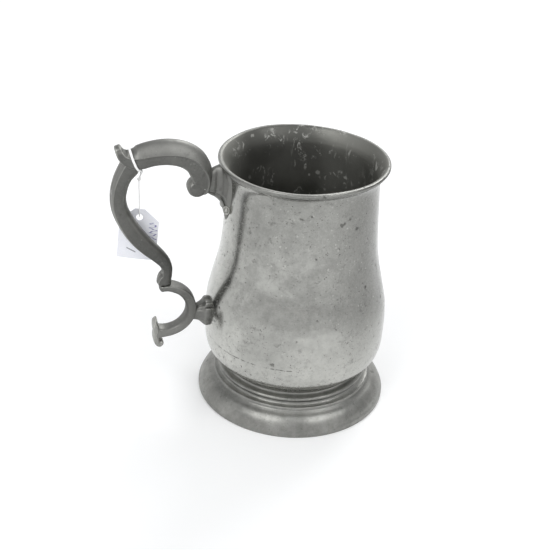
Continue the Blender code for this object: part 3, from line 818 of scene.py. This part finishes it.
def leaf(material):
    """The bracket's leaf, lying down the drum: a rib down its middle and a raised border."""
    rows = []
    for z, half_width, rise in smooth(LEAF, 8):
        half_width = max(half_width, 0.15)
        row = []
        for i in range(LEAF_POINTS + 1):
            u = -1 + 2 * i / LEAF_POINTS
            dome = math.sqrt(max(1 - u * u, 0.0))
            border = 0.55 * hump(abs(u), 0.74, 0.14)
            rib = 0.50 * hump(u, 0.0, 0.13)
            row.append(on_body(u * half_width, z, rise * (0.6 * dome + border + rib) - 0.15))
        row.append(on_body(half_width * 0.9, z, -LEAF_ROOT))
        row.append(on_body(-half_width * 0.9, z, -LEAF_ROOT))
        rows.append(row)
    bm = bmesh.new()
    skin(bm, rows)
    return mesh_object("strut_leaf", bm, [material], sharp=60)


BEAD_PLACE = (-48.8, 5.3, 135.4)
BEAD_TURN = math.radians(24)  # each boss faces a little away from the body
BEAD_OVAL = 1.35
BEAD_PROFILE = [
    (0.0, 1.1), (0.6, 1.0), (1.1, 0.6), (1.3, 0.2), (1.5, 0.4), (1.8, 0.6), (2.1, 0.4), (2.3, -1.6),
]
BEAD_POINTS = 28


def bead(name, side, material):
    """A small oval boss in a raised ring, near the foot of one face of the upper bracket."""
    centre = placed((BEAD_PLACE[0], side * BEAD_PLACE[1], BEAD_PLACE[2]))
    turn = Matrix.Rotation(side * BEAD_TURN, 4, "Z") @ Matrix.Rotation(-side * math.pi / 2, 4, "X")
    bm = bmesh.new()
    rings = []
    for reach, rise in smooth(BEAD_PROFILE, 3)[1:]:
        rings.append([
            Matrix.Translation(centre) @ turn @ (
                Vector((math.cos(a) * reach, math.sin(a) * reach * BEAD_OVAL, rise)) * MM)
            for a in around(BEAD_POINTS)
        ])
    skin(bm, rings)
    return mesh_object(name, bm, [material], sharp=60)


# ---------------------------------------------------------------- thread and card


def cord_curve(name, points, material):
    """A round thread through the points."""
    curve = bpy.data.curves.new(name, "CURVE")
    curve.dimensions = "3D"
    curve.bevel_depth = THREAD_RADIUS * MM
    curve.bevel_resolution = 4
    curve.use_fill_caps = True
    curve.materials.append(material)
    spline = curve.splines.new("POLY")
    spline.points.add(len(points) - 1)
    for point, spot in zip(spline.points, points):
        point.co = (*placed(spot), 1.0)
    obj = bpy.data.objects.new(name, curve)
    bpy.context.scene.collection.objects.link(obj)
    return obj


def loop_points():
    """Two turns round the bar, from the knot on the near side back to the knot on the far side."""
    count = LOOP_POINTS * LOOP_TURNS
    turns = []
    for i in range(count + 1):
        angle = 2 * math.pi * LOOP_TURNS * i / count
        y, rise = superellipse(-math.pi / 2 - angle, LOOP_HALF_WIDTH, 1.0, LOOP_SQUARENESS)
        height = (rise + 1) / 2
        drift = LOOP_PITCH * (0.5 - i / count) * LOOP_TURNS
        out = LOOP_FOOT_OUT + (LOOP_TOP_OUT - LOOP_FOOT_OUT) * height**LOOP_BEND + drift
        turns.append((-out, y, LOOP_FOOT_Z + (LOOP_TOP_Z - LOOP_FOOT_Z) * height))
    first = turns[0]
    last = turns[-1]
    lead_in = [(KNOT[0] + 0.7, 0.0, KNOT[2]), (first[0] + 0.3, 0.6, first[2] - 2.4)]
    lead_out = [(last[0] - 0.3, -0.6, last[2] - 2.4), (KNOT[0] - 0.7, 0.0, KNOT[2])]
    return lead_in + turns[1:-1] + lead_out


def knot(material):
    """An overhand knot: a small trefoil of the same thread."""
    points = [
        (
            KNOT[0] + KNOT_LOBE * (math.sin(t) + 2 * math.sin(2 * t)),
            KNOT[1] + KNOT_LOBE * (math.cos(t) - 2 * math.cos(2 * t)),
            KNOT[2] - KNOT_DROP - KNOT_DEPTH * math.sin(3 * t),
        )
        for t in around(48)
    ]
    obj = cord_curve("thread_knot", points, material)
    obj.data.splines[0].use_cyclic_u = True
    obj.data.bevel_depth = KNOT_THREAD_RADIUS * MM
    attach(obj, BODY)
    return obj


def card_outline():
    """The card's corners about its hole, anticlockwise from the lower left, as (x, z)."""
    half = CARD_WIDTH / 2
    top = CARD_HOLE_DROP
    foot = top - CARD_HEIGHT
    return [
        (-half, foot), (half, foot), (half, top - CARD_CLIP_HEIGHT), (half - CARD_CLIP_WIDTH, top),
        (CARD_CLIP_WIDTH - half, top), (-half, top - CARD_CLIP_HEIGHT),
    ]


def reach_along(angle, corners):
    """How far the card's edge is from its hole's middle in one direction."""
    ray = Vector((math.cos(angle), math.sin(angle)))
    best = None
    for a, b in zip(corners, corners[1:] + corners[:1]):
        edge = Vector((b[0] - a[0], b[1] - a[1]))
        cross = ray.x * edge.y - ray.y * edge.x
        if abs(cross) < 1e-9:
            continue
        far = (a[0] * edge.y - a[1] * edge.x) / cross
        share = (a[0] * ray.y - a[1] * ray.x) / cross
        if far > 0 and -1e-6 <= share <= 1 + 1e-6:
            best = far if best is None else min(best, far)
    return best


def card(material):
    """The tag's card: clipped corners, a punched hole and a slight bow."""
    corners = card_outline()
    angles = {round(math.atan2(z, x), 6) for x, z in corners}
    angles |= {round(-math.pi + 2 * math.pi * i / 60, 6) for i in range(60)}
    bm = bmesh.new()
    rings = [[] for _ in range(CARD_RINGS)]
    for angle in sorted(angles):
        far = reach_along(angle, corners)
        for k, ring in enumerate(rings):
            reach = CARD_HOLE_RADIUS + (far - CARD_HOLE_RADIUS) * k / (CARD_RINGS - 1)
            x = math.cos(angle) * reach
            z = math.sin(angle) * reach
            bow = CARD_BOW_ACROSS * (x * x) + CARD_BOW_DOWN * z * z
            ring.append(bm.verts.new((x * MM, (bow - CARD_THICKNESS / 2) * MM, z * MM)))
    count = len(rings[0])
    for inner, outer in zip(rings, rings[1:]):
        for i in range(count):
            j = (i + 1) % count
            bm.faces.new((inner[i], inner[j], outer[j], outer[i]))
    front = list(bm.faces)
    pulled = bmesh.ops.extrude_face_region(bm, geom=front, use_keep_orig=True)
    back = [v for v in pulled["geom"] if isinstance(v, bmesh.types.BMVert)]
    bmesh.ops.translate(bm, verts=back, vec=(0.0, CARD_THICKNESS * MM, 0.0))
    bmesh.ops.recalc_face_normals(bm, faces=bm.faces)
    mesh = bpy.data.meshes.new("card")
    bm.to_mesh(mesh)
    bm.free()
    mesh.materials.append(material)
    mesh.shade_smooth()
    mesh.set_sharp_from_angle(angle=math.radians(40))
    obj = bpy.data.objects.new("card", mesh)
    bpy.context.scene.collection.objects.link(obj)
    turn = Euler((0.0, CARD_ROLL, -CARD_YAW)).to_matrix().to_4x4()
    obj.matrix_world = Matrix.Translation(placed(CARD_HOLE)) @ turn
    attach(obj, TAG)
    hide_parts("tag_card")
    return obj


def tag():
    """The thread, its knot and the card."""
    white = cotton("white_thread")
    paper = card(card_stock())
    route = loop_points()
    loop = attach(cord_curve("thread_loop", route, white), BODY)
    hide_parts("tag_loop")
    tied = knot(white)
    run = smooth(THREAD_RUN, 5)
    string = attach(cord_curve("thread_string", run, white), TAG)
    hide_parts("tag_string")


# ---------------------------------------------------------------- the tankard


def tankard():
    """The body's three turned pieces and its floor, then the handle and its brackets."""
    bright = body_pewter()
    foot_metal = foot_pewter()
    inside = tarnished_and_shaded_inside()
    turned("body_drum", DRUM_OUTER, DRUM_INNER, [bright, inside], ["upper_body"], 1, shape=lip_shape)
    turned("body_bowl", BOWL_OUTER, BOWL_INNER, [bright, inside], ["lower_body"], 1)
    turned("foot", FOOT_OUTER, FOOT_INNER, [foot_metal], ["foot_ring"], wear=0.4, steps=5)
    floor_disc(inside)

    dark = handle_pewter("old_pewter", 0.14, 0.25, (0.07, 0.55))
    strap = handle_pewter("strap_pewter", 0.155, 0.13, (0.27, 0.6))
    tip = handle_pewter("tip_pewter", 0.33, 0.38)
    bracket = handle_pewter("bracket_pewter", 0.17, 0.24)
    # The bosses are painted pale to stand for the highlight on them.
    boss = handle_pewter("boss_painted_highlight", 0.42, 0.45)
    swept("handle_bar", BAR, bar_section, dark, ["upper_scroll"])
    volute(dark)
    swept("handle_grip", GRIP, grip_section, dark, ["grip_scroll"])
    swept("handle_tail", TAIL, strap_section, strap, ["tail_scroll"])
    swept("handle_fishtail", FISHTAIL, strap_section, tip, end_radius=1.3)
    strut("upper_bracket", UPPER_STRUT, UPPER_STRUT_Z, bracket, ["upper_strut"], scrolled_edge)
    leaf(bracket)
    bead("near_boss", -1, boss)
    bead("far_boss", 1, boss)
    strut("lower_bracket", LOWER_STRUT, LOWER_STRUT_Z, bracket, ["lower_strut"], leafy)


DISC_RADIUS = 42.0
DISC_CENTRE = 0.5  # the radius of the flat spot that the lathe leaves in the middle
DISC_THICKNESS = 2.0
DISC_RINGS = 40
DISC_RING_HEIGHT = 0.05


def floor_disc(material):
    """The floor of the cup, faintly ringed by the lathe."""
    line = [
        (
            DISC_CENTRE + (DISC_RADIUS - DISC_CENTRE) * i / DISC_RINGS,
            DISC_TOP_Z + DISC_RING_HEIGHT * math.sin(i * 1.9),
        )
        for i in range(DISC_RINGS + 1)
    ]
    line += [(DISC_RADIUS, DISC_TOP_Z - DISC_THICKNESS), (DISC_CENTRE, DISC_TOP_Z - DISC_THICKNESS)]
    bm = bmesh.new()
    skin(bm, [
        [placed((r * math.cos(a), r * math.sin(a), z)) for a in around(96)]
        for r, z in line
    ])
    return mesh_object("cup_floor", bm, [material], replaced=["base_disc"])


# ---------------------------------------------------------------- stage and light


def add_floor():
    """The white table."""
    bm = bmesh.new()
    bmesh.ops.create_grid(bm, x_segments=8, y_segments=8, size=3.0)
    mesh = bpy.data.meshes.new("floor")
    bm.to_mesh(mesh)
    bm.free()
    mesh.materials.append(paper_floor())
    floor = bpy.data.objects.new("floor", mesh)
    bpy.context.scene.collection.objects.link(floor)


def softbox(name, place, size, watts):
    """A soft lamp, turned towards the tankard."""
    data = bpy.data.lights.new(name, "AREA")
    data.shape = "RECTANGLE"
    data.size, data.size_y = size
    data.energy = watts
    light = bpy.data.objects.new(name, data)
    bpy.context.scene.collection.objects.link(light)
    light.location = place
    light.rotation_euler = (Vector(LAMP_AIM) - Vector(place)).to_track_quat("-Z", "Y").to_euler()


DARK_CORNER = (0.985, -0.13, 0.10)  # the way to the dimmest part of the room, off to the right
DARK_CORNER_LEVEL = 0.45
LAMP_AIM = (0, 0, 0.08)
LAMPS = [  # name, place and size in metres, watts
    ("key", (-0.9, -0.7, 1.5), (0.8, 0.7), 9),
    ("fill", (0.7, -0.85, 1.4), (0.9, 0.6), 7),
    ("rear", (0.8, 1.1, 1.3), (0.9, 0.7), 12),
]


def add_light():
    """A white studio: bright walls with one dim corner, a dimmer ceiling and three soft lamps."""
    world = bpy.data.worlds.new("studio")
    bpy.context.scene.world = world
    world.use_nodes = True
    tree = world.node_tree
    background = tree.nodes["Background"]
    where = tree.nodes.new("ShaderNodeTexCoord")
    split = tree.nodes.new("ShaderNodeSeparateXYZ")
    ramp = tree.nodes.new("ShaderNodeValToRGB")
    tree.links.new(where.outputs["Generated"], split.inputs["Vector"])
    tree.links.new(split.outputs["Z"], ramp.inputs["Fac"])
    corner = tree.nodes.new("ShaderNodeVectorMath")
    corner.operation = "DOT_PRODUCT"
    corner.inputs[1].default_value = DARK_CORNER
    near = tree.nodes.new("ShaderNodeMapRange")
    near.interpolation_type = "SMOOTHSTEP"
    near.inputs["From Min"].default_value = 0.70
    near.inputs["From Max"].default_value = 0.97
    near.inputs["To Min"].default_value = 1.0
    near.inputs["To Max"].default_value = DARK_CORNER_LEVEL
    shade = tree.nodes.new("ShaderNodeVectorMath")
    shade.operation = "SCALE"
    tree.links.new(where.outputs["Generated"], corner.inputs[0])
    tree.links.new(corner.outputs["Value"], near.inputs["Value"])
    tree.links.new(ramp.outputs["Color"], shade.inputs[0])
    tree.links.new(near.outputs["Result"], shade.inputs["Scale"])
    tree.links.new(shade.outputs["Vector"], background.inputs["Color"])
    ramp.color_ramp.elements[0].color = (1.0, 1.0, 1.0, 1)
    ramp.color_ramp.elements[0].position = 0.12
    ramp.color_ramp.elements[1].color = (0.50, 0.51, 0.52, 1)
    ramp.color_ramp.elements[1].position = 0.75
    background.inputs["Strength"].default_value = 1.0
    for name, place, size, watts in LAMPS:
        softbox(name, place, size, watts)
    bpy.context.scene.view_settings.view_transform = "Standard"


noise.seed_set(WEAR_SEED)
add_camera()
tag()
tankard()
add_floor()
add_light()

bpy.context.view_layer.update()
